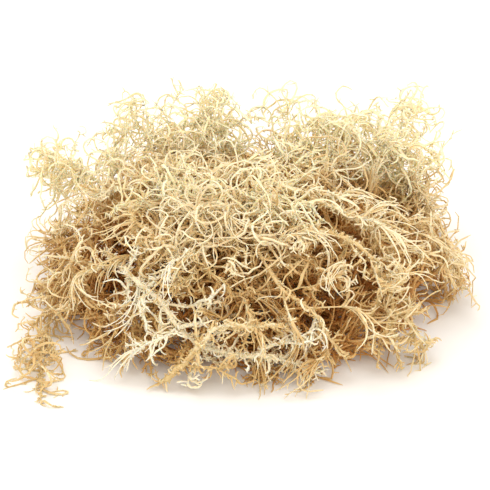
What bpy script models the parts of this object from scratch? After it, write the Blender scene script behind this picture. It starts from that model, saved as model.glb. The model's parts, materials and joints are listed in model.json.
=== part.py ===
"""Dried sea moss: a loose tangled heap of golden seaweed fronds, lying as it was tipped out.

Every frond is one closed body. Its stem is a four-sided tube with whorls, short bands of faces that are
drawn out into shoots, and the end face of a shoot is split in two and drawn out into twigs. The fronds
are laid one after the other, and a shoot grows only where it stays clear of all that is there already,
so the fronds mesh with each other as in a real tangle and none crosses another.

Metres, +Z up. The origin is on the floor, in the flat underside of the frond that carries the heap.
"""

import math

import bmesh
import bpy
import numpy as np
from mathutils import Vector

# The heap
HALF_WIDTH = 0.111
HALF_DEPTH = 0.094
MIDDLE = (0.002, -0.004)
BODY_HEIGHT = 0.066  # of its dense body
SQUARENESS = 2.6  # 2 is an ellipsoid, more is a squarer foot and a flatter top
WISP_HEIGHT = 0.008  # how far shoots may stand out of the heap's dense body
WISP_TOP = 0.093  # and the wisps over it
LOW_EDGE = 0.012  # the height of the outermost strands
SHAGGY_REACH = 1.12  # how far out shoots may stand, where the edge of the heap's foot is at 1
WISP_REACH = 1.15

# A frond
STEM_RADIUS = 0.00135
TIP_SHARE = 0.6  # the stem's radius at its tip, as a share of that at its foot
STEM_TIP = 0.006  # the length of the point at its end
LOWEST_TIP = 0.0004
WHORL_PITCH = 0.014
WHORL_LENGTH = 0.0018  # of the band that its shoots leave
SHOOT_RADIUS = 0.00066
ROOT_RADIUS = 0.0011  # a shoot's, where it leaves the stem
FORK_RADIUS = 0.00052
TWIG_RADIUS = 0.00045
SHOOT_STEP = 0.0074
TWIG_STEP = 0.0068
SHOOT_STEPS = (0.8, 1.25)  # the least and the most of a shoot's step that one draw takes
SHOOT_END = (0.8, 1.4)
TWIG_STEPS = (0.8, 1.1)
TWIG_END = (0.8, 1.5)
LEAN = (0.35, 1.1)  # how much of a shoot's first heading is along the stem
BEND = 0.5  # how much a shoot turns at each step
BENDS = (0.2, 1)
FIRST_CHANCE = 0.25  # the share of chance in a shoot's first heading
NEXT_CHANCE = 0.12  # and in the next ones
FORK_ANGLE = 0.42
FORKED = 0.45  # the share of shoots that fork
SHOOTS_AT_WHORL = 2.7

# Room
GAP = 0.0005  # between two fronds
OWN_GAP = 0.0003  # between two strands of one frond
STEM_GAP = 0.0012  # between two stems
TIP_GAP = 0.0002  # between a tip's side and any other frond
TOUCH = 0.00035  # between a tip and the strand that it rests against
TOUCH_REACH = (0.003, 0.012)  # from where such a tip starts to the strand
TAPER_STEPS = 4  # a tip is tested in this many stretches, each at its own thickness
SHARPEST = 0.2  # the cosine of the most that a tip turns aside to rest on a strand
TRIES = 24  # draws of each shoot
CHOICES = 5  # of which the emptiest of this many that are clear is kept
STEM_TRIES = 60
SEED = 11

# Working values
ROUTE_STEPS = 12  # points worked out between two given points of a route
TINY = 1e-18  # keeps two parallel stretches from a division by nothing
SIDES = 4
CORNER = math.pi / SIDES
NEARLY_DOWN = (0.01, 0.01, -1.0)  # a little aslant, so that an upright stem has a downward side too
FLAT = math.cos(CORNER)  # a side's distance from the axis, as a share of the radius

COLOURS = {
    "moss_pale": (0.80, 0.66, 0.38),
    "moss_golden": (0.72, 0.52, 0.23),
    "moss_amber": (0.60, 0.38, 0.14),
}

# Stems laid by hand, as the front and the outline of the heap show them, from foot to tip
LAID = {
    "frond_foot": ("moss_amber", 1.15, [
        (-0.052, -0.022, 0.0007), (-0.025, -0.008, 0.0007), (0.000, 0.000, 0.0006),
        (0.026, 0.006, 0.0005), (0.055, 0.020, 0.004)]),
    "frond_front_long": ("moss_pale", 1.25, [
        (-0.066, -0.048, 0.044), (-0.050, -0.067, 0.038), (-0.036, -0.080, 0.032),
        (-0.030, -0.087, 0.024), (-0.016, -0.091, 0.018), (0.010, -0.093, 0.016),
        (0.030, -0.092, 0.009)]),
    "frond_front_arc": ("moss_pale", 0.9, [
        (-0.040, -0.096, 0.004), (-0.020, -0.094, 0.026), (-0.006, -0.090, 0.034),
        (0.014, -0.090, 0.031)]),
    "frond_left_drape": ("moss_pale", 1.0, [
        (-0.058, -0.026, 0.060), (-0.054, -0.040, 0.054), (-0.051, -0.052, 0.044),
        (-0.051, -0.062, 0.028), (-0.048, -0.074, 0.014), (-0.046, -0.084, 0.004)]),
    "frond_left_curl": ("moss_golden", 1.1, [
        (-0.102, 0.022, 0.022), (-0.098, -0.002, 0.032), (-0.094, -0.022, 0.033),
        (-0.086, -0.044, 0.030), (-0.076, -0.058, 0.020), (-0.068, -0.074, 0.006)]),
    "frond_left_wisp": ("moss_golden", 0.8, [
        (-0.060, 0.010, 0.044), (-0.078, 0.024, 0.046), (-0.094, 0.034, 0.052),
        (-0.108, 0.040, 0.059)]),
    "frond_centre_curl": ("moss_pale", 1.1, [
        (-0.002, -0.030, 0.066), (-0.010, -0.048, 0.062), (-0.020, -0.058, 0.055),
        (-0.021, -0.066, 0.049), (-0.032, -0.074, 0.041)]),
    "frond_centre_branch": ("moss_golden", 1.15, [
        (0.000, -0.042, 0.063), (0.006, -0.062, 0.053), (0.014, -0.074, 0.045),
        (0.024, -0.082, 0.037), (0.044, -0.080, 0.035)]),
    "frond_right_arc": ("moss_pale", 1.0, [
        (0.014, -0.020, 0.069), (0.040, -0.030, 0.063), (0.058, -0.036, 0.056),
        (0.067, -0.046, 0.047), (0.072, -0.050, 0.040)]),
    "frond_right_drape": ("moss_pale", 1.2, [
        (0.038, -0.046, 0.057), (0.054, -0.052, 0.052), (0.064, -0.060, 0.042),
        (0.070, -0.068, 0.030), (0.069, -0.077, 0.017), (0.073, -0.081, 0.005)]),
    "frond_right_reach": ("moss_golden", 1.0, [
        (0.066, -0.018, 0.054), (0.082, -0.018, 0.047), (0.096, -0.014, 0.037),
        (0.108, -0.016, 0.025), (0.112, -0.018, 0.014)]),
    "frond_left_stray": ("moss_pale", 0.95, [
        (-0.084, -0.030, 0.030), (-0.096, -0.040, 0.018), (-0.101, -0.056, 0.006),
        (-0.101, -0.074, 0.0007), (-0.097, -0.090, 0.0005), (-0.096, -0.102, 0.0005)]),
    "frond_crown_left": ("moss_golden", 0.85, [
        (-0.080, 0.024, 0.036), (-0.066, 0.033, 0.058), (-0.044, 0.038, 0.073),
        (-0.022, 0.036, 0.076), (-0.004, 0.032, 0.062)]),
    "frond_crown_far": ("moss_golden", 0.8, [
        (0.086, 0.020, 0.036), (0.078, 0.034, 0.052), (0.073, 0.042, 0.066), (0.070, 0.046, 0.079)]),
    "frond_right_wisp": ("moss_golden", 0.75, [
        (0.056, 0.044, 0.037), (0.070, 0.051, 0.045), (0.084, 0.054, 0.051), (0.095, 0.054, 0.060)]),
    "frond_crown_right": ("moss_golden", 0.9, [
        (0.006, 0.026, 0.046), (0.020, 0.033, 0.066), (0.038, 0.037, 0.078),
        (0.056, 0.034, 0.072), (0.068, 0.028, 0.056)]),
}

# Stems laid by rule: how many, the share of the heap's height they lie at, their length, and a colour
LAYERS = {
    "frond_bed": (8, 0.0, (0.085, 0.115), "moss_amber"),
    "frond_low": (6, 0.38, (0.085, 0.115), "moss_amber"),
    "frond_mid": (7, 0.68, (0.080, 0.110), "moss_golden"),
    "frond_top": (9, 0.95, (0.075, 0.105), "moss_golden"),
}
RULED_GIRTH = (0.8, 1.0)
CURVE = 14.0  # radians a metre that such a stem may turn
WAVE = 0.004
LOWEST_STEM = 0.0022
PRESSED_STEM = 0.0006  # the axis of a stem that lies on the floor and is pressed flat there
STRAY = "frond_left_stray"
STRAY_CORNER = (-0.114, -0.108)
STRAY_TOP = 0.020
WISPS = ("frond_left_wisp", "frond_right_wisp", "frond_crown_left", "frond_crown_right",
         "frond_crown_far")


def unit(vector):
    return vector / np.linalg.norm(vector)


def reach_of(x, y):
    """0 in the middle of the heap's foot and 1 on its edge."""
    across, along = abs(x - MIDDLE[0]) / HALF_WIDTH, abs(y - MIDDLE[1]) / HALF_DEPTH
    return across**SQUARENESS + along**SQUARENESS


def heap_height(x, y):
    """Height of the heap's dense body above the floor, and 0 outside its foot."""
    return BODY_HEIGHT * math.sqrt(max(0.0, 1.0 - reach_of(x, y)))


def smooth_route(points, pitch):
    """Points evenly spread, about a pitch apart, along the smooth curve through the given ones."""
    knots = np.array(points, float)
    padded = np.vstack([2 * knots[0] - knots[1], knots, 2 * knots[-1] - knots[-2]])
    fine = []
    for p0, p1, p2, p3 in zip(padded, padded[1:], padded[2:], padded[3:]):
        for t in np.linspace(0, 1, ROUTE_STEPS, endpoint=False):
            fine.append(0.5 * (2 * p1 + (p2 - p0) * t + (2 * p0 - 5 * p1 + 4 * p2 - p3) * t**2
                               + (3 * p1 - p0 - 3 * p2 + p3) * t**3))
    fine = np.array(fine + [knots[-1]])
    along = np.concatenate([[0], np.cumsum(np.linalg.norm(np.diff(fine, axis=0), axis=1))])
    stations = np.linspace(0, along[-1], max(3, round(along[-1] / pitch) + 1))
    return np.column_stack([np.interp(stations, along, fine[:, k]) for k in range(3)])


def least_distance(a0, a1, b0, b1):
    """Distances between every stretch a0-a1 and every stretch b0-b1."""
    a, b = (a1 - a0)[:, None], (b1 - b0)[None]
    between = a0[:, None] - b0[None]
    aa, bb, ab = (a * a).sum(-1), (b * b).sum(-1), (a * b).sum(-1)
    ad, bd = (a * between).sum(-1), (b * between).sum(-1)
    share = np.clip((ab * bd - ad * bb) / np.maximum(aa * bb - ab**2, TINY), 0, 1)
    other = np.clip((ab * share + bd) / bb, 0, 1)
    share = np.clip((ab * other - ad) / aa, 0, 1)
    return np.linalg.norm(between + share[..., None] * a - other[..., None] * b, axis=-1)


class Tangle:
    """Every strand laid so far, as straight stretches."""

    def __init__(self):
        self.rows = np.empty((0, 8))  # start, end, radius, frond

    def add(self, frond, path, radius):
        rows = [[*p, *q, radius, frond] for p, q in zip(path, path[1:])]
        self.rows = np.vstack([self.rows, rows])

    def without(self, frond, joint):
        """The tangle without the stretches of one frond that meet at a joint."""
        meets = (self.rows[:, :3] == joint).all(axis=1) | (self.rows[:, 3:6] == joint).all(axis=1)
        rest = Tangle()
        rest.rows = self.rows[~meets | (self.rows[:, 7] != frond)]
        return rest

    def turn(self, frond, start, tip):
        """Moves the end of the stretch of one frond that begins at start."""
        self.rows[(self.rows[:, :3] == start).all(axis=1) & (self.rows[:, 7] == frond), 3:6] = tip

    def room(self, frond, path, radius, gap, own_path):
        """How far a path is from other fronds on average, or None where it or own_path comes too near."""
        path, own_path = np.array(path), np.array(own_path)
        own = self.rows[:, 7] == frond
        least_room = 1.0
        for line, rows, least in ((own_path, self.rows[own], OWN_GAP), (path, self.rows[~own], gap)):
            if len(rows) and len(line) > 1:
                apart = least_distance(line[:-1], line[1:], rows[:, :3], rows[:, 3:6])
                if (apart < radius + rows[:, 6] + least).any():
                    return None
                least_room = apart.min(axis=1).mean()
        return least_room


def frames(route):
    """Heading, downward side and level side of a stem at each of its points."""
    headings = [unit(v) for v in np.gradient(route, axis=0)]
    down = np.array(NEARLY_DOWN)
    found = []
    for heading in headings:
        down = unit(down - heading * (down @ heading))
        found.append((heading, down, np.cross(heading, down)))
    return found


def wander(rng, start, heading, steps, step, bend):
    """A curling path from start, which keeps turning the same way as a drying shoot does."""
    path, turn = [start], unit(rng.normal(size=3))
    for _ in range(steps):
        heading = unit(heading + bend * np.cross(turn, heading) + NEXT_CHANCE * rng.normal(size=3))
        path.append(path[-1] + step * heading)
    return path, heading


def inside(name, path):
    """True if a path stays within the heap's shaggy outline, which the wisps and the stray frond leave."""
    if name in WISPS:
        return all(z < WISP_TOP and reach_of(x, y) < WISP_REACH for x, y, z in path)
    if name == STRAY:
        return all(x > STRAY_CORNER[0] and y > STRAY_CORNER[1] and z < STRAY_TOP for x, y, z in path)
    return all(
        z < max(heap_height(x, y), LOW_EDGE) + WISP_HEIGHT and reach_of(x, y) < SHAGGY_REACH
        for x, y, z in path
    )


def try_shoot(rng, root, out, along):
    """One draw of a shoot: its own path, and those of the two twigs at its end if it forks."""
    heading = unit(out + rng.uniform(*LEAN) * along + FIRST_CHANCE * rng.normal(size=3))
    step = SHOOT_STEP * rng.uniform(*SHOOT_STEPS)
    path, heading = wander(rng, root, heading, 2, step, BEND * rng.uniform(*BENDS))
    if rng.random() > FORKED:
        more, _ = wander(rng, path[-1], heading, 1, SHOOT_STEP * rng.uniform(*SHOOT_END), BEND)
        return path + more[1:], []
    side = unit(np.cross(heading, rng.normal(size=3)))
    twigs = []
    for aside in (side, -side):
        away = unit(math.cos(FORK_ANGLE) * heading + math.sin(FORK_ANGLE) * aside)
        first = path[-1] + TWIG_STEP * rng.uniform(*TWIG_STEPS) * away
        rest, _ = wander(rng, first, away, 1, TWIG_STEP * rng.uniform(*TWIG_END), BEND)
        twigs.append([path[-1]] + rest)
    return path, twigs


def grow(index, name, colour, girth, route, tangle, rng):
    """The skeleton of one frond: its stem, and the shoots that found room."""
    radii = STEM_RADIUS * girth * np.linspace(1, TIP_SHARE, len(route))
    shoots = []
    for whorl, (heading, down, level) in enumerate(frames(route)):
        if whorl in (0, len(route) - 1):
            continue
        wanted = int(SHOOTS_AT_WHORL + rng.random())
        for side in rng.permutation(SIDES)[:wanted]:
            turn = side * math.tau / SIDES
            out = math.cos(turn) * down + math.sin(turn) * level
            root = route[whorl] + radii[whorl] * FLAT * out
            best, best_room, found = None, 0.0, 0
            for _ in range(TRIES):
                path, twigs = try_shoot(rng, root, out, heading)
                room = shoot_room(tangle, index, name, path, twigs)
                if room is None:
                    continue
                found += 1
                if room > best_room:
                    best, best_room = (path, twigs), room
                if found == CHOICES:
                    break
            if best:
                path, twigs = best
                shoots.append({"whorl": whorl, "side": int(side), "path": path, "twigs": twigs})
                tangle.add(index, [path[0], (path[0] + path[1]) / 2], ROOT_RADIUS)
                for line in (path, *twigs):
                    tangle.add(index, line, SHOOT_RADIUS)
    return {"name": name, "colour": colour, "route": route, "radii": radii, "shoots": shoots}


def shoot_room(tangle, index, name, path, twigs):
    """The room round a shoot, or None where it leaves the heap, meets the floor or touches a strand."""
    halfway = (path[0] + path[1]) / 2
    total = 0.0
    for line, kept in ((path, [halfway, *path[1:]]), *((twig, twig) for twig in twigs)):
        if min(p[2] for p in line[1:]) < SHOOT_RADIUS or not inside(name, line[1:]):
            return None
        room = tangle.room(index, line, SHOOT_RADIUS, GAP, kept)
        if room is None:
            return None
        total += room
    return total / (1 + len(twigs))


def rest_tips(fronds, tangle):
    """Turns the tips of the strands to lie against other fronds, where one is within a tip's reach."""
    for index, frond in enumerate(fronds):
        for shoot in frond["shoots"]:
            for line in shoot["twigs"] or [shoot["path"]]:
                rest = tangle.without(index, line[-2])
                line[-1] = rested_tip(rest, index, frond["name"], line)
                tangle.turn(index, line[-2], line[-1])


def rested_tip(tangle, index, name, line):
    """The end of a line, moved to the nearest strand of another frond that it can lie against."""
    start, heading = line[-2], unit(line[-2] - line[-3])
    others = tangle.rows[tangle.rows[:, 7] != index]
    foot, way = others[:, :3], others[:, 3:6] - others[:, :3]
    share = np.clip(((start - foot) * way).sum(1) / (way**2).sum(1), 0, 1)
    away = foot + share[:, None] * way - start
    length = np.linalg.norm(away, axis=1)
    reach = length - others[:, 6] - TOUCH
    ahead = away @ heading > SHARPEST * length
    near = np.flatnonzero((reach > TOUCH_REACH[0]) & (reach < TOUCH_REACH[1]) & ahead)
    for pick in near[reach[near].argsort()]:
        tip = start + reach[pick] * away[pick] / length[pick]
        if tip[2] > SHOOT_RADIUS and inside(name, [tip]) and clear_to_tip(tangle, index, start, tip):
            return tip
    return line[-1]


def clear_to_tip(tangle, index, start, tip):
    """True if a twig that tapers from start to its tip stays clear of all strands."""
    stops = [start + (tip - start) * k / TAPER_STEPS for k in range(TAPER_STEPS + 1)]
    for k in range(TAPER_STEPS):
        stretch = stops[k:k + 2]
        radius = TWIG_RADIUS * (1 - k / TAPER_STEPS)
        if tangle.room(index, stretch, radius, TIP_GAP, stretch) is None:
            return False
    return True


def ruled_route(rng, share, length):
    """A stem laid over the heap at a share of its height, or along the floor for a share of 0."""
    reach, turn = math.sqrt(rng.random()), rng.uniform(0, math.tau)
    spot = np.array([math.cos(turn), math.sin(turn)])
    middle = np.array(MIDDLE) + reach * spot * (HALF_WIDTH, HALF_DEPTH)
    heading = rng.uniform(0, math.tau)
    curve = rng.uniform(-CURVE, CURVE)
    points = []
    for s, rise in zip(np.linspace(-0.5, 0.5, 4) * length, rng.uniform(-WAVE, WAVE, 4)):
        way = heading + curve * s
        x, y = middle + s * np.array([math.cos(way), math.sin(way)])
        points.append([x, y, max(share * heap_height(x, y) + rise, LOWEST_STEM)])
    if not share:
        points[1][2] = points[2][2] = PRESSED_STEM
    return smooth_route(points, WHORL_PITCH)


def lay_fronds():
    """Every frond's skeleton. The stems go down first, those laid by hand before the others."""
    rng = np.random.default_rng(SEED)
    tangle = Tangle()
    stems = []
    for name, (colour, girth, points) in LAID.items():
        route = smooth_route(points, WHORL_PITCH)
        tangle.add(len(stems), route, STEM_RADIUS * girth)
        stems.append((name, colour, girth, route))
    for layer, (count, share, lengths, colour) in LAYERS.items():
        number = 0
        for _ in range(count):
            best, best_room = None, 0.0
            for _ in range(STEM_TRIES):
                route = ruled_route(rng, share, rng.uniform(*lengths))
                room = tangle.room(-1, route, STEM_RADIUS, STEM_GAP, [])
                if room and room > best_room and all(reach_of(x, y) < 1.0 for x, y, _ in route):
                    best, best_room = route, room
            if best is not None:
                number += 1
                tangle.add(len(stems), best, STEM_RADIUS)
                stems.append((f"{layer}_{number:02d}", colour, rng.uniform(*RULED_GIRTH), best))
    fronds = [grow(index, *stem, tangle, rng) for index, stem in enumerate(stems)]
    rest_tips(fronds, tangle)
    return fronds


def ring(mesh, centre, heading, down, level, radius):
    """Four corners round a point of the stem, with a side of the square facing down."""
    corners = []
    for corner in range(SIDES):
        turn = corner * math.tau / SIDES + CORNER
        out = math.cos(turn) * down + math.sin(turn) * level
        corners.append(mesh.verts.new(Vector(centre + radius * out)))
    return corners


def draw_out(mesh, face, points, radii):
    """Extrudes a face along some points, one ring for each, and returns the face at the end."""
    for point, radius in zip(points, radii):
        before = face.calc_center_median()
        heading = (Vector(point) - before).normalized()
        face = bmesh.ops.extrude_discrete_faces(mesh, faces=[face])["faces"][0]
        for corner in face.verts:
            offset = corner.co - before
            offset -= heading * offset.dot(heading)
            corner.co = Vector(point) + offset.normalized() * radius
    return face


def close_to_tip(mesh, face, tip):
    """Extrudes a face to a point."""
    face = bmesh.ops.extrude_discrete_faces(mesh, faces=[face])["faces"][0]
    bmesh.ops.pointmerge(mesh, verts=face.verts[:], merge_co=Vector(tip))


def fork(mesh, face, twigs):
    """Splits the four-sided end of a shoot in two, and draws each half out into a twig."""
    a, b, c, d = face.verts
    aim = Vector(twigs[0][1] - twigs[1][1])
    ends = (a, c) if abs(aim.dot(b.co - d.co)) > abs(aim.dot(a.co - c.co)) else (b, d)
    half, _ = bmesh.utils.face_split(face, *ends)
    halves = sorted((face, half), key=lambda f: f.calc_center_median().dot(aim), reverse=True)
    for piece, twig in zip(halves, twigs):
        end = draw_out(mesh, piece, twig[1:-1], [TWIG_RADIUS])
        close_to_tip(mesh, end, twig[-1])


def make_frond(frond, materials, parent):
    """The closed body of one frond."""
    mesh = bmesh.new()
    route, radii = frond["route"], frond["radii"]
    rings = []
    for station, (heading, down, level) in enumerate(frames(route)):
        at_an_end = station in (0, len(route) - 1)
        for shift in (0,) if at_an_end else (-0.5, 0.5):
            centre = route[station] + shift * WHORL_LENGTH * heading
            rings.append((station, ring(mesh, centre, heading, down, level, radii[station])))
    whorls = {}
    for (station, low), (next_station, high) in zip(rings, rings[1:]):
        for side in range(SIDES):
            # The side between corners side-1 and side faces out at the angle of side
            before = side - 1
            face = mesh.faces.new((low[before], low[side], high[side], high[before]))
            if station == next_station:
                whorls[station, side] = face
    mesh.faces.new(rings[0][1][::-1])
    last = mesh.faces.new(rings[-1][1])
    mesh.normal_update()
    tip = route[-1] + STEM_TIP * unit(route[-1] - route[-2])
    close_to_tip(mesh, last, (tip[0], tip[1], max(tip[2], LOWEST_TIP)))
    for shoot in frond["shoots"]:
        path = shoot["path"]
        face = whorls[shoot["whorl"], shoot["side"]]
        if shoot["twigs"]:
            end = draw_out(mesh, face, path[1:], [SHOOT_RADIUS, FORK_RADIUS])
            fork(mesh, end, shoot["twigs"])
        else:
            end = draw_out(mesh, face, path[1:-1], [SHOOT_RADIUS, TWIG_RADIUS])
            close_to_tip(mesh, end, path[-1])
    for corner in mesh.verts:
        corner.co.z = max(corner.co.z, 0.0)
    bmesh.ops.recalc_face_normals(mesh, faces=mesh.faces)
    data = bpy.data.meshes.new(frond["name"])
    mesh.to_mesh(data)
    mesh.free()
    data.materials.append(materials[frond["colour"]])
    data.shade_smooth()
    body = bpy.data.objects.new(frond["name"], data)
    bpy.context.scene.collection.objects.link(body)
    body.parent = parent
    return body


def make_material(name, colour):
    material = bpy.data.materials.new(name)
    material.use_nodes = True
    shader = material.node_tree.nodes["Principled BSDF"]
    shader.inputs["Base Color"].default_value = (*colour, 1)
    shader.inputs["Roughness"].default_value = 0.6
    shader.inputs["Metallic"].default_value = 0.0
    return material


def main():
    for old in list(bpy.data.objects):
        bpy.data.objects.remove(old)
    materials = {name: make_material(name, colour) for name, colour in COLOURS.items()}
    heap = bpy.data.objects.new("sea_moss", None)
    bpy.context.scene.collection.objects.link(heap)
    fronds = lay_fronds()
    for frond in fronds:
        make_frond(frond, materials, heap)
    shoots = sum(len(f["shoots"]) for f in fronds)
    twigs = sum(len(s["twigs"]) for f in fronds for s in f["shoots"])
    print(len(fronds), "fronds", shoots, "shoots", twigs, "twigs")


main()
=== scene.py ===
# %% [markdown]
# # Dried sea moss: finishing the heap
#
# The measured fronds are already modelled: each is one closed solid, a stem with side
# shoots and twigs, and together they lie as one tangled heap. They are plain, with four
# flat sides. This lesson gives every frond its real surface, grows the thousands of fine
# strands that it carries, and finishes it as dried, pale seaweed.

# %% Load the measured fronds
import heapq
import json
import math
from collections import Counter

import bpy
import numpy as np
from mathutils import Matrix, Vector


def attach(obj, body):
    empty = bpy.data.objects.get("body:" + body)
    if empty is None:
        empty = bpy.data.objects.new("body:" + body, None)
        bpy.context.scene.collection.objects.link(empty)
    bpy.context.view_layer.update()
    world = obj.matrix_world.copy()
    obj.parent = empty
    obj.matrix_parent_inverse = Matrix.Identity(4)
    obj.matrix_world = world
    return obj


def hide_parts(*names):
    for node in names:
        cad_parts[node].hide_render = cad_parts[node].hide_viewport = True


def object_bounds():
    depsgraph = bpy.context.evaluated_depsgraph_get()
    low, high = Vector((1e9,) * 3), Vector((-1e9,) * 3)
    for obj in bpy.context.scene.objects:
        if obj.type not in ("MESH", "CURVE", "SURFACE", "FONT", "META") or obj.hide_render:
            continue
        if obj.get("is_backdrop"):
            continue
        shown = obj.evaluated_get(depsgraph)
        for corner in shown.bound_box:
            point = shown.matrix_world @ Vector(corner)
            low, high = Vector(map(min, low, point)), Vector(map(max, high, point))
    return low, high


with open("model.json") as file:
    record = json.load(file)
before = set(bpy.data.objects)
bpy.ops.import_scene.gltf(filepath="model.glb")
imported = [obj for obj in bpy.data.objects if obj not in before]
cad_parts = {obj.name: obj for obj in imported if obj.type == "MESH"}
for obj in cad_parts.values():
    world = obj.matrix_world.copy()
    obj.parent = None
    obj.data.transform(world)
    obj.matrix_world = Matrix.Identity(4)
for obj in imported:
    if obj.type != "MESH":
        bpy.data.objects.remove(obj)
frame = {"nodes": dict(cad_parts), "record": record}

MM = 0.001
lowest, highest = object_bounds()
print("measured fronds:", len(frame["nodes"]))

# %% [markdown]
# ## The camera
#
# A picture of the heap has to show it from the place where the eye would be: about two
# feet away and thirty degrees above the table. The view angle could be tried out by hand,
# but the distance and the lens were worked out beforehand, so they are only typed in.

# %% Set the camera
CAMERA_PLACE = (-0.0009, -0.5522, 0.3401)
CAMERA_TILT = math.radians(90 - 29.9)
FRAME_PIXELS = 490
FOCAL_PIXELS = 1200
SENSOR_WIDTH = 36

bpy.ops.object.select_all(action="DESELECT")
bpy.ops.object.camera_add(location=CAMERA_PLACE, rotation=(CAMERA_TILT, 0, 0))
camera = bpy.context.object
camera.name = "table_camera"
camera.data.sensor_width = SENSOR_WIDTH
camera.data.lens = SENSOR_WIDTH * FOCAL_PIXELS / FRAME_PIXELS
camera.data.clip_start = 10 * MM
bpy.context.scene.camera = camera
print("lens", round(camera.data.lens, 2), "mm")

# %% [markdown]
# ## The body of the heap
#
# How pale a strand is and how far it may reach depend on where it lies in the heap. For
# that, the heap counts as a rounded body that rests on the table. The wisps of the crown
# stand above it, and a stray frond lies outside it. The body could be measured from the
# fronds, but its edge is ragged, and five typed numbers are easier to adjust.

# %% Set the size of the heap's body, in metres
HALF_WIDTH = 0.111
HALF_DEPTH = 0.094
MIDDLE_X = 0.002
MIDDLE_Y = -0.004
BODY_HEIGHT = 0.066

body_size = (2 * HALF_WIDTH, 2 * HALF_DEPTH, BODY_HEIGHT)
print("body of the heap, mm:", [round(side / MM) for side in body_size])

# %% [markdown]
# ## The finish of dried seaweed
#
# Dried sea moss is matte and a little see-through. The finish paints it pale cream on the
# outside of the heap and most of all on top, as painted light, and golden or amber deep in
# the heap and low down, as painted shade. Each strand also dries to its own shade. The
# finish adds up six things: a number that each loose strand has of its own, broad patches,
# fine mottling, how far along the strand the point lies, and how far out of the heap and
# how high it lies, which are the painted light and shade. The sum picks a colour from a ramp
# of shades, dark to pale. It could be painted by hand instead, but the sum gives the same
# look from every side and on every strand.

# %% Wire nodes together


def link(tree, start, end):
    tree.links.new(start, end)


def add_node(tree, kind, **values):
    node = tree.nodes.new(kind)
    for name, value in values.items():
        setattr(node, name, value)
    return node


def speckle(tree, place, scale, detail):
    noise = add_node(tree, "ShaderNodeTexNoise")
    noise.inputs["Scale"].default_value = scale
    noise.inputs["Detail"].default_value = detail
    link(tree, place, noise.inputs["Vector"])
    return noise.outputs["Fac"]


def weighted(tree, value, weight, rest=None):
    """value times weight, with rest added when there is one."""
    part = add_node(tree, "ShaderNodeMath", operation="MULTIPLY_ADD")
    part.inputs[1].default_value = weight
    part.inputs[2].default_value = 0.0
    link(tree, value, part.inputs[0])
    if rest is not None:
        link(tree, rest, part.inputs[2])
    return part.outputs[0]


# %% Tell the finish where a point lies in the heap, for its painted light and shade
OUTWARD_RANGE = (0.76, 1.08)
HEIGHT_RANGE = (-0.04, 0.078)


def spread(tree, value, lowest_value, highest_value):
    """0 at the lowest value, 1 at the highest."""
    ranged = add_node(tree, "ShaderNodeMapRange")
    ranged.inputs["From Min"].default_value = lowest_value
    ranged.inputs["From Max"].default_value = highest_value
    link(tree, value, ranged.inputs["Value"])
    return ranged.outputs["Result"]


def painted_shade_by_depth(tree, place):
    """0 deep in the heap and 1 on its outside: painted shade that darkens the inside of the
    heap.
    """
    centred = add_node(tree, "ShaderNodeMapping")
    centred.inputs["Location"].default_value = (
        -MIDDLE_X / HALF_WIDTH, -MIDDLE_Y / HALF_DEPTH, 0)
    centred.inputs["Scale"].default_value = (1 / HALF_WIDTH, 1 / HALF_DEPTH, 1 / BODY_HEIGHT)
    link(tree, place, centred.inputs["Vector"])
    far = add_node(tree, "ShaderNodeVectorMath", operation="LENGTH")
    link(tree, centred.outputs["Vector"], far.inputs[0])
    return spread(tree, far.outputs["Value"], *OUTWARD_RANGE)


def painted_light_by_height(tree, place):
    """0 some way below the table and 1 high in the heap: painted light on top, painted shade
    low down.
    """
    split = add_node(tree, "ShaderNodeSeparateXYZ")
    link(tree, place, split.inputs[0])
    return spread(tree, split.outputs["Z"], *HEIGHT_RANGE)


# %% Add up what makes a point dark or pale
# the last two shares are painted shade deep and low in the heap and painted light on its
# outside and top
SHARES = dict(own=0.15, patches=0.28, mottle=0.16, along=0.08, outwards=0.46, painted_light_by_height=0.22)
PATCH_SCALE = 45.0
MOTTLE_SCALE = 700.0
GRAIN_SCALE = 1600.0


def paleness(tree, place, mottle):
    """The sum that picks the shade, from its six parts."""
    along = add_node(tree, "ShaderNodeSeparateXYZ")
    link(tree, add_node(tree, "ShaderNodeUVMap", uv_map="UVMap").outputs["UV"], along.inputs[0])
    parts = dict(
        own=add_node(tree, "ShaderNodeNewGeometry").outputs["Random Per Island"],
        patches=speckle(tree, place, PATCH_SCALE, 2.0),
        mottle=mottle,
        along=along.outputs["X"],
        outwards=painted_shade_by_depth(tree, place),
        painted_light_by_height=painted_light_by_height(tree, place),
    )
    total = None
    for name, part in parts.items():
        total = weighted(tree, part, SHARES[name], total)
    return total


def pick_shade(tree, value, shades):
    """The colour that belongs to a value, from a ramp of shades, dark to pale."""
    ramp = add_node(tree, "ShaderNodeValToRGB")
    link(tree, value, ramp.inputs["Fac"])
    stops = ramp.color_ramp.elements
    stops[0].position, stops[0].color = shades[0][0], (*shades[0][1], 1)
    stops[1].position, stops[1].color = shades[-1][0], (*shades[-1][1], 1)
    for position, colour in shades[1:-1]:
        stops.new(position).color = (*colour, 1)
    return ramp.outputs["Color"]


# %% Write the recipe for one shade of seaweed
ROUGHNESS = (0.5, 0.8)
SURFACE = {
    "Specular IOR Level": 0.2,
    "Subsurface Radius": (1.0, 0.8, 0.6),
    "Subsurface Scale": 0.0005,
}
GRAIN = {"Strength": 0.35, "Distance": 0.0002}


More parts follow.
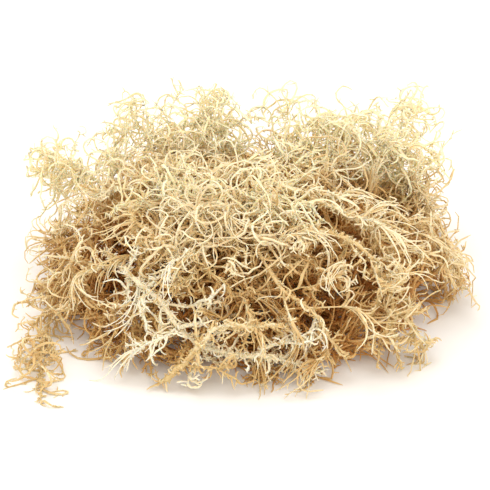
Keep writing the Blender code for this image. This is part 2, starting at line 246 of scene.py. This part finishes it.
def seaweed_finish(name, shades, glow):
    """A matte finish; glow is how much light passes through the strands."""
    material = bpy.data.materials.new(name)
    material.use_nodes = True
    tree = material.node_tree
    surface = tree.nodes["Principled BSDF"]
    place = add_node(tree, "ShaderNodeTexCoord").outputs["Object"]
    mottle = speckle(tree, place, MOTTLE_SCALE, 3.0)
    shade = pick_shade(tree, paleness(tree, place, mottle), shades)
    link(tree, shade, surface.inputs["Base Color"])
    rough = add_node(tree, "ShaderNodeMapRange")
    rough.inputs["To Min"].default_value = ROUGHNESS[0]
    rough.inputs["To Max"].default_value = ROUGHNESS[1]
    link(tree, mottle, rough.inputs["Value"])
    link(tree, rough.outputs["Result"], surface.inputs["Roughness"])
    surface.inputs["Subsurface Weight"].default_value = glow
    for socket, value in SURFACE.items():
        surface.inputs[socket].default_value = value
    grain = add_node(tree, "ShaderNodeBump")
    for socket, value in GRAIN.items():
        grain.inputs[socket].default_value = value
    link(tree, speckle(tree, place, GRAIN_SCALE, 2.0), grain.inputs["Height"])
    link(tree, grain.outputs["Normal"], surface.inputs["Normal"])
    return material


# %% Mix the shades
GLOW = 0.6
GLOW_CROWN = 0.8

finishes = {
    "moss_pale": seaweed_finish(
        "pale_seaweed",
        [(0.26, (0.56, 0.23, 0.05)), (0.50, (0.64, 0.33, 0.10)),
         (0.72, (0.69, 0.46, 0.19)), (0.90, (0.76, 0.58, 0.30)), (1.00, (0.92, 0.80, 0.56))],
        GLOW,
    ),
    "whitest": seaweed_finish(
        "whitest_seaweed",
        [(0.22, (0.60, 0.32, 0.12)), (0.42, (0.82, 0.58, 0.29)),
         (0.64, (0.92, 0.75, 0.47)), (0.88, (0.97, 0.89, 0.70))],
        GLOW,
    ),
    # a paler copy of the seaweed for the fronds on top of the heap: painted light
    "crown_painted_light": seaweed_finish(
        "crown_seaweed_painted_light",
        [(0.34, (0.78, 0.44, 0.14)), (0.60, (0.90, 0.62, 0.27)),
         (0.82, (0.94, 0.75, 0.42)), (1.00, (0.98, 0.87, 0.61))],
        GLOW_CROWN,
    ),
    "moss_golden": seaweed_finish(
        "golden_seaweed",
        [(0.26, (0.54, 0.22, 0.05)), (0.48, (0.63, 0.32, 0.09)),
         (0.72, (0.67, 0.44, 0.18)), (0.90, (0.75, 0.57, 0.30)), (1.00, (0.94, 0.82, 0.58))],
        GLOW,
    ),
    # a darker copy of the seaweed for the fronds buried low in the heap: painted shade
    "moss_amber": seaweed_finish(
        "amber_seaweed_painted_shade",
        [(0.26, (0.50, 0.20, 0.05)), (0.48, (0.60, 0.29, 0.08)),
         (0.72, (0.64, 0.40, 0.15)), (1.00, (0.78, 0.61, 0.34))],
        GLOW,
    ),
}
print("finishes:", sorted(finishes))

# %% [markdown]
# ## Reading the line of a frond
#
# A real stem is round, knotty and kinked, and keeps nearly the same thickness to its end.
# The measured solid has the right route, but smooth straight sides. Rounding it with a
# Subdivision Surface turns every fork into a smooth star. So the script takes only the
# line from it. The foot of each frond is the one square face whose four corners have three
# edges each. Walking from there along the edges gives each corner its distance from the
# foot. Cutting the solid wherever that distance passes a round number gives slices, and
# the middles of the slices are the line of the stem and its shoots.

# %% Weld a copy of a measured frond
WELD = 0.01 * MM


def pick(*things):
    bpy.ops.object.select_all(action="DESELECT")
    for thing in things:
        thing.select_set(True)
    bpy.context.view_layer.objects.active = things[0]


def weld_copy(node, name):
    """A welded copy of a measured frond, in quads where its triangles pair up."""
    frond = bpy.data.objects.new(name, node.data.copy())
    bpy.context.scene.collection.objects.link(frond)
    pick(frond)
    bpy.ops.object.mode_set(mode="EDIT")
    bpy.ops.mesh.select_all(action="SELECT")
    bpy.ops.mesh.remove_doubles(threshold=WELD)
    bpy.ops.mesh.tris_convert_to_quads()
    bpy.ops.object.mode_set(mode="OBJECT")
    return frond


# %% Walk a frond from its foot to its tips


def walk_from_foot(mesh, places):
    """The distance of each corner from the frond's foot, along the edges."""
    near = [[] for _ in places]
    for edge in mesh.edges:
        a, b = edge.vertices
        length = float(np.linalg.norm(places[a] - places[b]))
        near[a].append((b, length))
        near[b].append((a, length))
    foot = next(
        face for face in mesh.polygons
        if len(face.vertices) == 4 and all(len(near[v]) == 3 for v in face.vertices)
    )
    walked = np.full(len(places), np.inf)
    walked[list(foot.vertices)] = 0.0
    queue = [(0.0, v) for v in foot.vertices]
    while queue:
        distance, v = heapq.heappop(queue)
        if distance > walked[v]:
            continue
        for other, length in near[v]:
            if distance + length < walked[other]:
                walked[other] = distance + length
                heapq.heappush(queue, (walked[other], other))
    return walked


# %% Number the edges that a cut can cross


def numbered_edges(mesh):
    """Each edge as its two corners, and each triangle as the numbers of its three edges."""
    numbers, sides = {}, []
    mesh.calc_loop_triangles()
    for part in mesh.loop_triangles:
        a, b, c = part.vertices
        pairs = [tuple(sorted(pair)) for pair in ((a, b), (b, c), (c, a))]
        sides.append([numbers.setdefault(pair, len(numbers)) for pair in pairs])
    return np.array(list(numbers)), np.array(sides)


def gather(edges_of_parts):
    """Gives every edge the number of the connected patch that it belongs to."""
    patch = {}

    def top(edge):
        while patch[edge] != edge:
            patch[edge] = patch[patch[edge]]
            edge = patch[edge]
        return edge

    for edges in edges_of_parts:
        for edge in edges:
            patch.setdefault(edge, edge)
        for edge in edges[1:]:
            patch[top(edge)] = top(edges[0])
    return {edge: top(edge) for edge in patch}


# %% Cut a frond into slices
SLICE = 2.5 * MM
FIRST_SLICE = 0.2 * MM


def slice_frond(mesh):
    """The slices of a frond, each its middle and the number of the slice before it."""
    places = np.array([v.co for v in mesh.vertices])
    walked = walk_from_foot(mesh, places)
    ends, sides = numbered_edges(mesh)
    near, far = walked[ends].min(1), walked[ends].max(1)
    low, high = near[sides].min(1), far[sides].max(1)
    slices, open_slices = [], []
    for level in np.arange(FIRST_SLICE, walked.max() + SLICE, SLICE):
        crossing = np.flatnonzero((near < level) & (far >= level))
        a, b = ends[crossing, 0], ends[crossing, 1]
        share = ((level - walked[a]) / (walked[b] - walked[a]))[:, None]
        points = dict(zip(crossing, places[a] * (1 - share) + places[b] * share))
        cut = sides[(low < level) & (high >= level)]
        rings = gather([[e for e in row if e in points] for row in cut])
        band = sides[(low < level) & (high > level - SLICE)]
        in_band = (far > level - SLICE) & (near < level)
        patches = gather([[e for e in row if in_band[e]] for row in band])
        here = []
        for ring in sorted(set(rings.values())):
            edges = [e for e in rings if rings[e] == ring]
            middle = np.array([points[e] for e in edges]).mean(0)
            before = next((n for n, edge in open_slices
                           if patches.get(edge) == patches[edges[0]]), -1)
            here.append((len(slices), edges[0]))
            slices.append((middle, before))
        open_slices = here
    return slices


# %% Join the slices into lines
SHORTEST_LINE = 3


def join_slices(slices):
    """Lines from root to tip: the longest first, each starting on the one it grew from."""
    middles = [middle for middle, _ in slices]
    befores = [before for _, before in slices]
    after = [[] for _ in slices]
    for number, before in enumerate(befores):
        if before >= 0:
            after[before].append(number)
    reach = [1] * len(slices)
    for number in reversed(range(len(slices))):
        before = befores[number]
        if before >= 0:
            reach[before] = max(reach[before], reach[number] + 1)
    lines = []
    starts = [(number, 0) for number, before in enumerate(befores) if before < 0]
    while starts:
        number, rank = starts.pop(0)
        line = [befores[number]] if befores[number] >= 0 else []
        while True:
            line.append(number)
            onward = sorted(after[number], key=lambda n: -reach[n])
            starts += [(n, rank + 1) for n in onward[1:]]
            if not onward:
                break
            number = onward[0]
        if len(line) >= SHORTEST_LINE:
            lines.append((rank, np.array([middles[n] for n in line])))
    return lines


# %% [markdown]
# ## Kinks and knots
#
# Drying bends a stem every few millimetres, and leaves knots where a spur fell off. Sine
# waves would make kinks, but at an even pitch, as in a corrugated wire. So the bends lie
# at random places, a slow set and a quick set, and a random factor on each radius makes
# the knots.

# %% Kink a line and give it its thickness

# how far apart the bends lie and how large they are, for the slow set and the quick one;
# each set is added in two directions, by a share of its size, and grows in past the foot
KINKS = ((11 * MM, 1.2 * MM), (4.0 * MM, 0.60 * MM))
KINK_SHARE = 0.6
STRAIGHT_FOOT = 8 * MM

# knots: the range of the random factor; swell: how a radius grows over its first points
KNOTS = (0.80, 1.26)
SWELL = (0.5, 0.75, 0.92)


def unit(rows):
    """The same directions, each one long."""
    return rows / np.maximum(np.linalg.norm(rows, axis=-1, keepdims=True), 1e-12)


def distances(line):
    """How far along a line each of its points lies."""
    return np.concatenate([[0], np.cumsum(np.linalg.norm(np.diff(line, axis=0), axis=1))])


def refine(line, step):
    """The same line with a point every step."""
    along = distances(line)
    at = np.linspace(0, along[-1], max(4, int(round(along[-1] / step)) + 1))
    return np.stack([np.interp(at, along, column) for column in line.T], axis=1)


def kinked(draw, line):
    """The same line with the kinks of a dried stem."""
    smooth = line.copy()
    smooth[1:-1] = (line[:-2] + 2 * line[1:-1] + line[2:]) / 4
    along = distances(smooth)
    grown = np.clip(along / STRAIGHT_FOOT, 0, 1)[:, None]
    for pitch, size in KINKS:
        count = max(3, int(along[-1] / pitch) + 2)
        bends = np.sort(draw.uniform(0, along[-1], count))
        for _ in range(2):
            across = unit(draw.normal(size=3))
            shift = np.interp(along, bends, draw.normal(size=count))
            smooth = smooth + across * shift[:, None] * size * KINK_SHARE * grown
    return smooth


def thickness(draw, count, girth, blunt=0.6):
    """The radius at each point of a line, with knots, blunt towards the tip."""
    share = np.linspace(0, 1, count)
    radii = girth[0] + (girth[1] - girth[0]) * share
    radii = radii * draw.uniform(*KNOTS, count)
    radii[:len(SWELL)] *= SWELL[:count]
    radii[-1] *= blunt
    return radii


# %% [markdown]
# ## The strands
#
# Most of what the eye sees is not stem but strand: side branches about a millimetre
# thick, short curled spurs, and long sweeping hairs with hooked tips. Each could be drawn
# by hand as a curve. There are thousands, so a rule draws them: a strand leaves its stem
# at an angle, bends a little more at every step and hooks at its end. All draws are
# seeded, so the heap is the same each time. A strand becomes a thin curve with a
# three-sided profile, and then a mesh. Strands stay flat shaded: smooth shading on three
# sides turns half of each strand dark, while stems, with six sides, take it well.

# %% Rules for how far strands may reach
SQUARENESS = 2.6


def heap_share(points):
    """0 in the middle of the heap, 1 on its outside and more than 1 beyond it."""
    x = np.abs(points[..., 0] - MIDDLE_X) / HALF_WIDTH
    y = np.abs(points[..., 1] - MIDDLE_Y) / HALF_DEPTH
    z = np.abs(points[..., 2]) / BODY_HEIGHT
    return (x ** SQUARENESS + y ** SQUARENESS + z ** SQUARENESS) ** (1 / SQUARENESS)


def heap_outwards(points):
    """The direction away from the middle of the heap, square to its outside."""
    away = points - np.array([MIDDLE_X, MIDDLE_Y, 0.0])
    return unit(away / np.array([HALF_WIDTH, HALF_DEPTH, BODY_HEIGHT]) ** 2)


# %% A slow swirl that strands near each other share
SWIRL_SEED = 5
SWIRL_WAVES = 7
SWIRL_LENGTH = (35 * MM, 90 * MM)
DOWNHILL = 0.9

swirl_draw = np.random.default_rng(SWIRL_SEED)
swirl_ways = unit(swirl_draw.normal(size=(SWIRL_WAVES, 3)))
swirl_ways = swirl_ways * math.tau / swirl_draw.uniform(*SWIRL_LENGTH, (SWIRL_WAVES, 1))
swirl_pull = unit(swirl_draw.normal(size=(SWIRL_WAVES, 3)))
swirl_start = swirl_draw.uniform(0, math.tau, SWIRL_WAVES)


def swirl(points):
    """The way that strands near a point are combed: round, and down the side of the heap."""
    waves = np.sin(points @ swirl_ways.T + swirl_start)
    share = np.clip(points[:, 2:] / BODY_HEIGHT, 0, 1)
    outwards = unit((points - np.array([MIDDLE_X, MIDDLE_Y, 0])) * np.array([1, 1, 0]))
    downhill = outwards * share - np.array([0, 0, 1]) * (1 - share)
    return unit(unit(waves @ swirl_pull) + downhill * DOWNHILL)


way_on_top = swirl(np.array([[0, 0, BODY_HEIGHT]]))[0]
print("on top of the heap, strands are combed along", way_on_top.round(2).tolist())

# %% Tufts, where strands stand closer together
TUFT_WAVES = 2.4
LEAST_TUFT = 0.45


def tufts(points):
    """Small where the heap is thin and large in its tufts, some 20 mm across."""
    waves = np.sin(points @ (swirl_ways * TUFT_WAVES).T + swirl_start[::-1])
    return LEAST_TUFT + np.clip(waves.sum(-1) / 2 + 0.6, 0, None) ** 1.2


# %% Grow strands from their roots

# how unlike the strands of one lock turn, and how much a turn changes at each step
TURN_SPREAD = 0.12
TURN_CHANGE = 0.35

# how fast and how far a strand turns back at the limit of its reach, or of its leash
TURN_BACK = 9.0
MOST_TURN_BACK = 0.9
MOST_LEASH_PULL = 0.5


def shared(values, group, count):
    """Each row given to a whole group of strands."""
    return np.repeat(values, group, axis=0)[:count]


def grow_strands(draw, roots, ways, lengths, rule, sort):
    """The points of many strands at once, an array of strands by points by 3."""
    count, steps, group = len(roots), rule["steps"], rule.get("group", 1)
    leaders = math.ceil(count / group)
    turn_way = shared(unit(draw.normal(size=(leaders, 3))), group, count)
    turn_way = unit(turn_way + draw.normal(scale=TURN_SPREAD, size=ways.shape))
    turn_way = unit(np.cross(ways, turn_way))
    turn = shared(draw.uniform(*rule["bend"], (leaders, 1)), group, count)
    hook = shared(draw.uniform(*rule["hook"], (leaders, 1)), group, count)
    stride = (lengths / steps)[:, None]
    path = np.empty((count, steps + 1, 3))
    path[:, 0] = roots
    for step in range(steps):
        share = step / steps
        ways = unit(ways + turn_way * (turn + hook * share ** 2) / steps)
        ways = unit(ways + draw.normal(scale=rule["wobble"], size=ways.shape))
        ways = unit(ways + swirl(path[:, step]) * rule["comb"])
        outside = heap_share(path[:, step] + ways * stride) - sort["reach"]
        pull = np.clip(outside * TURN_BACK, 0, MOST_TURN_BACK)[:, None]
        ways = unit(ways - heap_outwards(path[:, step]) * pull)
        away = path[:, step] - roots
        stray = np.linalg.norm(away, axis=1, keepdims=True) / (sort["leash"] * MM) - 1
        held = unit(away) * np.clip(stray, 0, MOST_LEASH_PULL)
        ways = unit(ways - held - [0, 0, sort["droop"]])
        turn_way = unit(np.cross(np.cross(ways, turn_way), ways))
        turn_way = unit(turn_way + draw.normal(scale=TURN_CHANGE, size=ways.shape))
        path[:, step + 1] = path[:, step] + ways * stride
    return path


# %% Give strands their thickness
TAPER = 0.42
TAPER_POWER = 1.5
STRAND_KNOTS = (0.76, 1.28)


def taper(draw, count, rule):
    """The radius of each strand at each point, with small knots and a blunt tip."""
    share = np.linspace(0.0, 1.0, rule["steps"] + 1)
    thick = draw.uniform(*rule["thick"], (count, 1)) * MM
    radii = thick * (1 - TAPER * share ** TAPER_POWER)
    radii = radii * draw.uniform(*STRAND_KNOTS, radii.shape)
    radii[:, -1] *= rule.get("blunt", 0.55)
    return radii


# %% Draw the profiles that lines are thickened with
STEM_SIDES = 6
SHOOT_SIDES = 4
STRAND_SIDES = 3


def make_profile(name, sides):
    """The flat outline that a curve is thickened with."""
    outline = bpy.data.curves.new(name, "CURVE")
    outline.dimensions = "2D"
    ring = outline.splines.new("POLY")
    ring.points.add(sides - 1)
    for corner in range(sides):
        angle = math.tau * corner / sides
        ring.points[corner].co = (math.cos(angle), math.sin(angle), 0, 1)
    ring.use_cyclic_u = True
    profile = bpy.data.objects.new(name, outline)
    bpy.context.scene.collection.objects.link(profile)
    return profile


profiles = {
    sides: make_profile("strand_profile", sides)
    for sides in (STEM_SIDES, SHOOT_SIDES, STRAND_SIDES)
}
print("sides of the profiles:", list(profiles))

# %% [markdown]
# ## From lines to a mesh
#
# A curve with a profile makes an even, closed skin round every line at once, and takes the
# radius from each point. The skin modifier would do so too, but slowly, and with lumps at
# the forks. Points that would go into the table, or leave the measured heap's box by more
# than a few millimetres, are moved back to that limit.

# %% Turn lines into a mesh
FLOOR_ROOM = 0.1 * MM
BOX_ROOM = 3 * MM
STRAND_WELD = 0.004 * MM

box_low = np.array(lowest) - BOX_ROOM
box_high = np.array(highest) + BOX_ROOM


def thicken(name, sides, lines):
    """One mesh object from lines, each its points and its radii."""
    curve = bpy.data.curves.new(name, "CURVE")
    curve.dimensions = "3D"
    curve.bevel_mode = "OBJECT"
    curve.bevel_object = profiles[sides]
    curve.use_fill_caps = True
    for points, radii in lines:
        places = np.ones((len(points), 4), np.float32)
        places[:, :3] = np.clip(points, box_low, box_high)
        places[:, 2] = np.maximum(places[:, 2], radii + FLOOR_ROOM)
        spline = curve.splines.new("POLY")
        spline.points.add(len(points) - 1)
        spline.points.foreach_set("co", places.ravel())
        spline.points.foreach_set("radius", radii.astype(np.float32))
    strands = bpy.data.objects.new(name, curve)
    bpy.context.scene.collection.objects.link(strands)
    pick(strands)
    bpy.ops.object.convert(target="MESH")
    strands = bpy.context.object
    bpy.ops.object.mode_set(mode="EDIT")
    bpy.ops.mesh.select_all(action="SELECT")
    bpy.ops.mesh.remove_doubles(threshold=STRAND_WELD)
    bpy.ops.mesh.normals_make_consistent(inside=False)
    bpy.ops.object.mode_set(mode="OBJECT")
    if sides > STRAND_SIDES:
        bpy.ops.object.shade_smooth()
    else:
        bpy.ops.object.shade_flat()
    return strands


# %% [markdown]
# ## What each frond carries
#
# The fronds of the heap differ. The long ones in front are bristly with short spurs. Those
# around them carry locks of nearly parallel hairs, the ones on top carry curls, those
# inside a coarse mat, and the wisps of the crown frizz and ringlets. Hair could be combed
# by hand for this, but a rule for each kind of strand is changed by one number.

# %% Rules for each kind of strand

# each: strands on a millimetre of stem; length: millimetres; thick: the radius in
# millimetres; bend: how many radians a strand turns; hook: how much more it turns near its
# tip; wobble: random change of way at each step; comb: pull of the swirl; lean: 0 stands
# straight off the stem, 1 leans halfway along it; group: strands in a lock; spurs: how
# many each strand carries itself; blunt: the tip's radius, as a share
STUB = dict(each=0.9, length=(1.3, 3.2), steps=1, thick=(0.36, 0.56), bend=(0.0, 1.2),
            hook=(0.0, 0.6), wobble=0.12, comb=0.0, lean=(-0.3, 0.9), blunt=1.1)
BRISTLE = dict(each=0.60, length=(2.6, 8.0), steps=4, thick=(0.40, 0.62), bend=(0.8, 3.8),
               hook=(0.0, 2.0), wobble=0.20, comb=0.0, lean=(-0.2, 1.1))
SPUR = dict(each=0.36, length=(2.5, 6.0), steps=3, thick=(0.36, 0.58), bend=(0.4, 2.6),
            hook=(0.2, 1.6), wobble=0.16, comb=0.0, lean=(0.1, 1.0))
BRANCHLET = dict(each=0.28, length=(7.0, 18.0), steps=7, thick=(0.45, 0.74), bend=(0.5, 3.4),
                 hook=(0.0, 2.8), wobble=0.26, comb=0.14, lean=(0.2, 1.5), spurs=2.8)
SPARSE = dict(BRANCHLET, each=0.14)
HAIR = dict(each=0.14, length=(16.0, 36.0), steps=9, thick=(0.34, 0.50), bend=(0.3, 2.0),
            hook=(0.0, 2.2), wobble=0.10, comb=0.28, lean=(0.8, 1.8), group=7, spurs=1.2)
MAT = dict(each=0.24, length=(18.0, 34.0), steps=6, thick=(0.46, 0.72), bend=(0.4, 2.4),
           hook=(0.0, 1.0), wobble=0.25, comb=0.2, lean=(0.5, 1.5))
CURL = dict(each=0.24, length=(20.0, 44.0), steps=10, thick=(0.46, 0.76), bend=(1.2, 4.2),
            hook=(0.0, 3.2), wobble=0.20, comb=0.05, lean=(0.0, 1.3), spurs=3.5)
WHISK = dict(HAIR, each=0.05)
LOOP = dict(CURL, each=0.07)
RINGLET = dict(CURL, each=0.26, length=(14.0, 34.0), comb=0.14)
FRIZZ = dict(each=0.14, length=(6.0, 16.0), steps=7, thick=(0.30, 0.46), bend=(0.8, 4.2),
             hook=(0.0, 3.0), wobble=0.22, comb=0.08, lean=(0.2, 1.4), spurs=1.5)
TWIG_SPUR = dict(length=(1.2, 3.8), steps=1, thick=(0.32, 0.48), bend=(0.2, 2.2),
                 hook=(0.0, 0.8), wobble=0.1, comb=0.0, blunt=1.0)
FRAY = dict(length=(3.0, 9.0), steps=4, thick=(0.36, 0.60), bend=(0.4, 2.6),
            hook=(0.0, 1.6), wobble=0.2, comb=0.0)

# %% Rules for each sort of frond

# rules: what it carries; reach: how far out of the heap; stem: its thickness beside a plain
# one; leash: how many millimetres a strand may stray from its root; droop: how much a
# strand's own weight bends it
FREE = dict(leash=60, droop=0)
SORTS = {
    "bristly": dict(FREE, rules=(STUB, BRISTLE, SPARSE, WHISK), reach=1.20, stem=1.12),
    "showy": dict(FREE, rules=(STUB, SPUR, BRANCHLET, HAIR), reach=1.04, stem=0.95),
    "middling": dict(FREE, rules=(STUB, BRANCHLET, HAIR, LOOP), reach=1.05, stem=0.80),
    "buried": dict(FREE, rules=(BRANCHLET, HAIR, MAT), reach=0.95, stem=0.85),
    "crest": dict(rules=(STUB, BRANCHLET, CURL), reach=1.20, stem=0.75, leash=16, droop=0.04),
    "wispy": dict(rules=(STUB, FRIZZ, RINGLET), reach=9.0, stem=0.60, leash=12, droop=0.10),
}
SORT_OF_SLOT = {"moss_pale": "showy", "moss_golden": "middling", "moss_amber": "buried"}
WISPY = ("frond_left_wisp", "frond_right_wisp", "frond_crown_left", "frond_crown_right",
         "frond_crown_far", "frond_left_stray")
BRISTLY = ("frond_front_long", "frond_front_arc")

slots = {row["node"]: row["material_slot"] for row in frame["record"]["subparts"]}


def sort_of(name):
    if name in WISPY:
        return "wispy"
    if name in BRISTLY:
        return "bristly"
    return "crest" if "_top_" in name else SORT_OF_SLOT[slots[name]]


for sort_name in SORTS:
    print(sort_name, "fronds:", sum(sort_of(name) == sort_name for name in slots))

# %% Choose where strands root
LEAST_INSIDE = 0.35


def scatter(draw, lines, count, group, tufted):
    """Roots on a frond's lines: their places and the way that the line grows there."""
    starts = np.concatenate([line[:-1] for line in lines])
    ends = np.concatenate([line[1:] for line in lines])
    steps = ends - starts
    weight = np.linalg.norm(steps, axis=1)
    weight = weight * (LEAST_INSIDE + np.clip(heap_share(starts), 0.0, 1.1) ** 3)
    if group > 1 or tufted:
        weight = weight * tufts(starts)
    leaders = math.ceil(count / group)
    chosen = draw.choice(len(starts), leaders, p=weight / weight.sum())
    chosen = shared(chosen, group, count)
    places = starts[chosen] + steps[chosen] * draw.uniform(0, 1, (count, 1))
    return places, unit(steps[chosen])


# %% Grow what a frond carries
SPUR_LEAN = (0.2, 1.2)
FRAY_SPREAD = (0.2, 1.3)
FRAYED_ENDS = 9


def strands_of(draw, lines, sort):
    """The strands that a frond carries, as lines with radii."""
    made = []
    length = sum(distances(line)[-1] for line in lines) / MM
    for rule in sort["rules"]:
        count = int(round(rule["each"] * length))
        group = rule.get("group", 1)
        carriers = lines if "spurs" in rule else lines + [lines[0]] * 2
        roots, along = scatter(draw, carriers, count, group, "spurs" in rule)
        leaders = math.ceil(count / group)
        across = shared(draw.normal(size=(leaders, 3)), group, count)
        lean = shared(draw.uniform(*rule["lean"], (leaders, 1)), group, count)
        ways = unit(along * lean + unit(np.cross(along, across)))
        lengths = draw.uniform(*rule["length"], count) * MM
        path = grow_strands(draw, roots, ways, lengths, rule, sort)
        made += list(zip(path, taper(draw, count, rule)))
        if "spurs" in rule:
            made += spurs_on(draw, path, int(count * rule["spurs"]), sort)
    return made


def frayed_foot(draw, line, sort):
    """The torn end of a stem: a bunch of short strands that go on past its foot."""
    back = unit(line[0] - line[2])
    roots = line[0] + (line[1] - line[0]) * draw.uniform(0, 1, (FRAYED_ENDS, 1))
    sideways = unit(draw.normal(size=(FRAYED_ENDS, 3)))
    ways = unit(back + sideways * draw.uniform(*FRAY_SPREAD, (FRAYED_ENDS, 1)))
    lengths = draw.uniform(*FRAY["length"], FRAYED_ENDS) * MM
    ends = grow_strands(draw, roots, ways, lengths, FRAY, sort)
    return list(zip(ends, taper(draw, FRAYED_ENDS, FRAY)))


def spurs_on(draw, path, count, sort):
    """Short spurs on the strands themselves."""
    strand = draw.integers(0, len(path), count)
    at = draw.integers(1, path.shape[1] - 1, count)
    way = unit(path[strand, at + 1] - path[strand, at])
    across = unit(np.cross(way, draw.normal(size=way.shape)))
    ways = unit(way * draw.uniform(*SPUR_LEAN, (count, 1)) + across)
    lengths = draw.uniform(*TWIG_SPUR["length"], count) * MM
    spurs = grow_strands(draw, path[strand, at], ways, lengths, TWIG_SPUR, sort)
    return list(zip(spurs, taper(draw, count, TWIG_SPUR)))


# %% [markdown]
# ## Dressing the fronds
#
# Each frond is now taken in turn. Its line is read, kinked and thickened, its strands are
# grown, and all of it is joined to one piece that takes the measured frond's place. The
# fronds of the crown get the palest finish, as painted light, and the long one in front is
# almost white. Copies of one dressed frond would be quicker to make, but in a tangle the eye
# soon finds repeats.

# %% Read a frond's bodies: its stem first, then its shoots and twigs

# the distance between points and the radii at root and tip, for a stem, shoot and twig
BODY_STEPS = (1.4 * MM, 2.5 * MM, 2.5 * MM)
GIRTHS = ((1.22 * MM, 0.75 * MM), (0.74 * MM, 0.46 * MM), (0.56 * MM, 0.36 * MM))


def bodies_of(draw, node, stem):
    """The kinked lines of a measured frond, each with its rank and its radii."""
    copy = weld_copy(node, "welded_copy")
    lines = join_slices(slice_frond(copy.data))
    bpy.data.objects.remove(copy)
    bodies = []
    for rank, line in lines:
        level = min(rank, len(GIRTHS) - 1)
        line = refine(line, BODY_STEPS[level])
        radii = thickness(draw, len(line), GIRTHS[level]) * stem
        bodies.append((rank, kinked(draw, line), radii))
    return bodies


# %% Choose each frond's finish
WHITEST = ("frond_front_long",)
# the fronds on top of the heap that get the paler copy, as painted light
CROWN_PAINTED_LIGHT = ("frond_crown_left", "frond_crown_right", "frond_crown_far", "frond_left_wisp",
          "frond_right_wisp", "frond_top_03", "frond_top_06")


def finish_of(name):
    if name in WHITEST:
        return "whitest"
    return "crown_painted_light" if name in CROWN_PAINTED_LIGHT else slots[name]


# %% Dress every frond
SEED = 23

tally = Counter()
largest = (0, "")
for order, (name, node) in enumerate(sorted(frame["nodes"].items())):
    draw = np.random.default_rng([SEED, order])
    sort = SORTS[sort_of(name)]
    bodies = bodies_of(draw, node, sort["stem"])
    stems = [(line, radii) for rank, line, radii in bodies if rank == 0]
    shoots = [(line, radii) for rank, line, radii in bodies if rank > 0]
    strands = strands_of(draw, [line for _, line, _ in bodies], sort)
    strands += frayed_foot(draw, stems[0][0], sort)
    parts = [
        thicken(name + "_dressed", STEM_SIDES, stems),
        thicken(name + "_shoots", SHOOT_SIDES, shoots),
        thicken(name + "_strands", STRAND_SIDES, strands),
    ]
    pick(*parts)
    bpy.ops.object.join()
    frond = bpy.context.object
    frond.data.materials.clear()
    frond.data.materials.append(finishes[finish_of(name)])
    frond.data.calc_loop_triangles()
    triangles = len(frond.data.loop_triangles)
    tally.update(fronds=1, stems=len(stems), shoots=len(shoots), strands=len(strands),
                 triangles=triangles)
    largest = max(largest, (triangles, name))
    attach(frond, "root")
    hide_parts(name)

for profile in profiles.values():
    bpy.data.objects.remove(profile)
print("made:", dict(tally))
print("most triangles:", largest)

# %% [markdown]
# ## The table and the light
#
# A plain, nearly white floor and soft light from above keep the eye on the heap. One
# broad lamp hangs high above, a little to the back left, and a second fills in from the
# front right. Most of the light comes from an even sky, so that shadows stay light. The
# sky is slightly warm, as light between pale fronds turns warm.

# %% Lay the floor
FLOOR_SIZE = 8.0
PAPER_WHITE = (0.92, 0.92, 0.92, 1)

bpy.ops.object.select_all(action="DESELECT")
bpy.ops.mesh.primitive_plane_add(size=FLOOR_SIZE, location=(0, 0, 0))
floor = bpy.context.object
floor.name = "pale_floor"
paper = bpy.data.materials.new("plain_paper")
paper.use_nodes = True
matte = paper.node_tree.nodes["Principled BSDF"]
matte.inputs["Base Color"].default_value = PAPER_WHITE
matte.inputs["Roughness"].default_value = 0.9
floor.data.materials.append(paper)
floor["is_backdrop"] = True
print("floor:", FLOOR_SIZE, "m square")

# %% Hang the lamps


def soft_lamp(name, place, size, power):
    """A square lamp that faces the heap."""
    bpy.ops.object.select_all(action="DESELECT")
    bpy.ops.object.light_add(type="AREA", location=place)
    lamp = bpy.context.object
    lamp.name = name
    lamp.data.size = size
    lamp.data.energy = power
    x, y, z = place
    flat = math.hypot(x, y)
    lamp.rotation_euler = (math.atan2(flat, z), 0, math.atan2(y, x) + math.pi / 2)
    return lamp


lamps = [
    soft_lamp("high_lamp", place=(-0.18, 0.10, 1.35), size=0.8, power=7.5),
    soft_lamp("front_lamp", place=(0.4, -1.0, 1.1), size=1.2, power=6.0),
]
print("lamps, watts:", {lamp.name: lamp.data.energy for lamp in lamps})

# %% Light the sky
SKY_COLOUR = (1.0, 0.93, 0.83, 1)
SKY_STRENGTH = 0.90

sky = bpy.data.worlds.new("plain_warm_sky")
sky.use_nodes = True
background = sky.node_tree.nodes["Background"]
background.inputs["Color"].default_value = SKY_COLOUR
background.inputs["Strength"].default_value = SKY_STRENGTH
bpy.context.scene.world = sky
bpy.context.scene.view_settings.view_transform = "Standard"
print("sky strength:", SKY_STRENGTH)

# %% Measure the bounds of the finished heap
bpy.context.view_layer.update()
lowest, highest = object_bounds()
